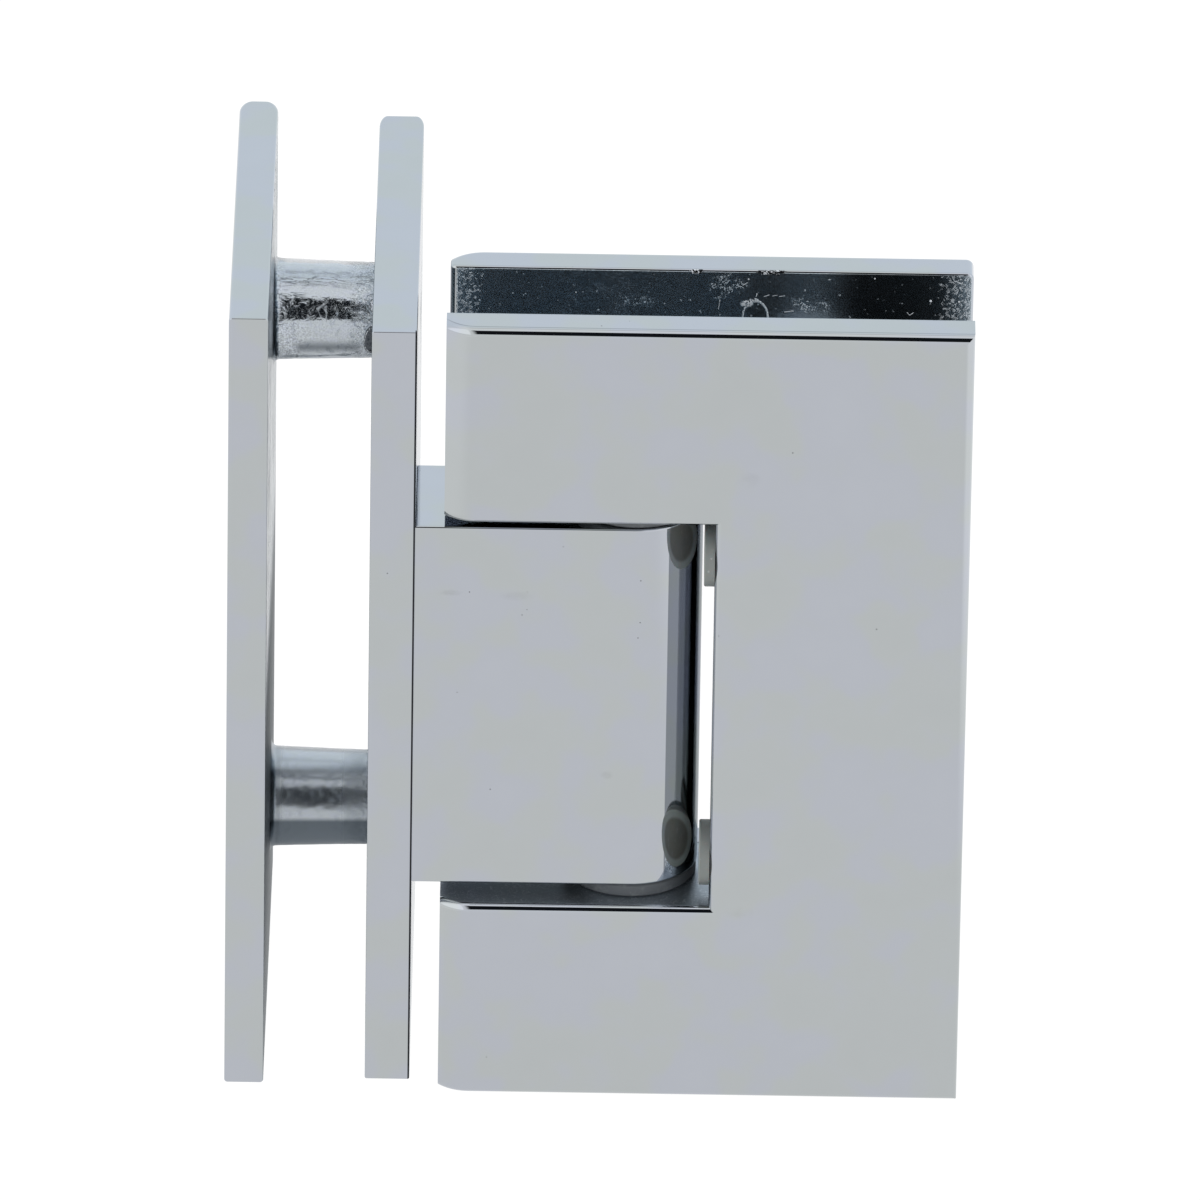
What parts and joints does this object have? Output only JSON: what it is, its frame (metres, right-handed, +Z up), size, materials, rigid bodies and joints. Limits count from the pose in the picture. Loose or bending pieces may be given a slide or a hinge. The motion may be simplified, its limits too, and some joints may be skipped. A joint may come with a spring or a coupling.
{
  "type": "glass door hinge",
  "caption": "Chromed hinge that joins a shower door's glass to a fixed glass panel at a right angle and swings both ways.",
  "frame": {"origin": "on the inner fixed plate's glass face, midway between the two clamp screws", "axes": "+Z up along the pivot axis, +X from the fixed glass along the closed door, +Y from the door's outside face towards its inside"},
  "size_m": [0.0771, 0.0532, 0.09],
  "materials": {
    "chrome_plate": "polished chrome plate over cast brass",
    "screw_steel": "bright stainless steel",
    "pin_steel": "ground steel",
    "spring_steel": "drawn spring wire",
    "washer_plastic": "dark grey plastic",
    "bumper_rubber": "translucent grey-green rubber"
  },
  "bodies": {
    "fixed_leaf": {"fixed_outer_plate": "chrome_plate", "fixed_inner_plate": "chrome_plate", "pivot_block": "chrome_plate", "fixed_clamp_screw_top": "screw_steel", "fixed_clamp_screw_bottom": "screw_steel", "block_screw_top": "screw_steel", "block_screw_bottom": "screw_steel", "detent_spring_top": "spring_steel", "detent_spring_bottom": "spring_steel"},
    "door_leaf": {"door_front_plate": "chrome_plate", "door_back_plate": "chrome_plate", "door_clamp_screw_top": "screw_steel", "door_clamp_screw_bottom": "screw_steel", "pivot_pin": "pin_steel", "cross_pin_top": "pin_steel", "cross_pin_bottom": "pin_steel", "thrust_washer_top": "washer_plastic", "thrust_washer_bottom": "washer_plastic", "bumper_pad_top": "bumper_rubber", "bumper_pad_bottom": "bumper_rubber"},
    "plunger_top": {"detent_plunger_top": "pin_steel"},
    "plunger_bottom": {"detent_plunger_bottom": "pin_steel"}
  },
  "joints": [
    {"name": "door_swing", "type": "hinge", "parent": "fixed_leaf", "child": "door_leaf", "pos_m": [0.02755, -0.0269, 0], "axis": [0, 0, 1], "range_deg": [-90, 90]},
    {"name": "plunger_slide_top", "type": "slide", "parent": "fixed_leaf", "child": "plunger_top", "axis": [1, 0, 0], "range_m": [0, 0.0005]},
    {"name": "plunger_slide_bottom", "type": "slide", "parent": "fixed_leaf", "child": "plunger_bottom", "axis": [1, 0, 0], "range_m": [0, 0.0005]}
  ]
}
